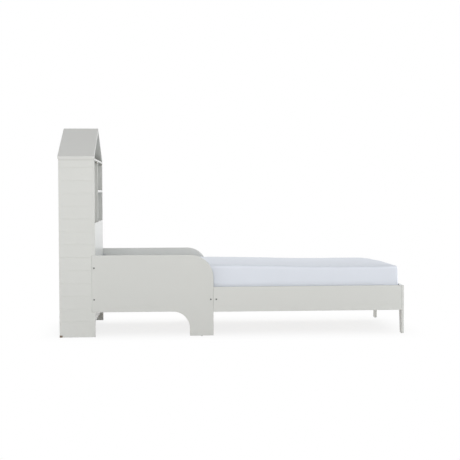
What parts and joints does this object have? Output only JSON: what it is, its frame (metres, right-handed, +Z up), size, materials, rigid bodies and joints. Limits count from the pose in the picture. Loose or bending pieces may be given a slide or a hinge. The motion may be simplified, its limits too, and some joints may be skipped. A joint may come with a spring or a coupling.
{
  "type": "house bed",
  "caption": "Child's single bed with a gabled bookcase headboard, rounded guard boards with an arched leg, low side rails, a foot board and a mattress.",
  "frame": {"origin": "on the floor under the middle of the bed's overall box", "axes": "+X from the headboard to the foot board, +Y across the bed to its far side, +Z up"},
  "size_m": [2.263, 0.95, 1.3795],
  "materials": {
    "painted_board": "satin off-white paint",
    "painted_hardboard": "matt off-white paint",
    "pine": "planed, unvarnished",
    "mattress_cover": "woven, matt",
    "steel": "zinc plated",
    "glide_plastic": "matt"
  },
  "bodies": {
    "root": {"headboard_side_wall_near": "painted_board", "headboard_side_wall_far": "painted_board", "roof_board_near": "painted_board", "roof_board_far": "painted_board", "back_panel": "painted_hardboard", "front_panel": "painted_board", "attic_floor": "painted_board", "bookcase_floor": "painted_board", "divider": "painted_board", "middle_shelf": "painted_board", "guard_board_near": "painted_board", "guard_board_far": "painted_board", "low_rail_near": "painted_board", "low_rail_far": "painted_board", "foot_board": "painted_board", "guard_ledger_near": "pine", "guard_ledger_far": "pine", "rail_ledger_near": "pine", "rail_ledger_far": "pine", "slat_01": "pine", "slat_02": "pine", "slat_03": "pine", "slat_04": "pine", "slat_05": "pine", "slat_06": "pine", "slat_07": "pine", "slat_08": "pine", "slat_09": "pine", "slat_10": "pine", "slat_11": "pine", "slat_12": "pine", "mattress": "mattress_cover", "guard_bolt_upper_near": "steel", "guard_bolt_upper_far": "steel", "guard_bolt_lower_near": "steel", "guard_bolt_lower_far": "steel", "guard_barrel_nut_upper_near": "steel", "guard_barrel_nut_upper_far": "steel", "guard_barrel_nut_lower_near": "steel", "guard_barrel_nut_lower_far": "steel", "seam_bolt_guard_near": "steel", "seam_bolt_guard_far": "steel", "seam_bolt_rail_near": "steel", "seam_bolt_rail_far": "steel", "foot_bolt_upper_near": "steel", "foot_bolt_upper_far": "steel", "foot_bolt_lower_near": "steel", "foot_bolt_lower_far": "steel", "foot_barrel_nut_upper_near": "steel", "foot_barrel_nut_upper_far": "steel", "foot_barrel_nut_lower_near": "steel", "foot_barrel_nut_lower_far": "steel", "glide_wall_rear_near": "glide_plastic", "glide_wall_rear_far": "glide_plastic", "glide_wall_front_near": "glide_plastic", "glide_wall_front_far": "glide_plastic", "glide_guard_near": "glide_plastic", "glide_guard_far": "glide_plastic", "glide_foot_near": "glide_plastic", "glide_foot_far": "glide_plastic"}
  },
  "joints": []
}
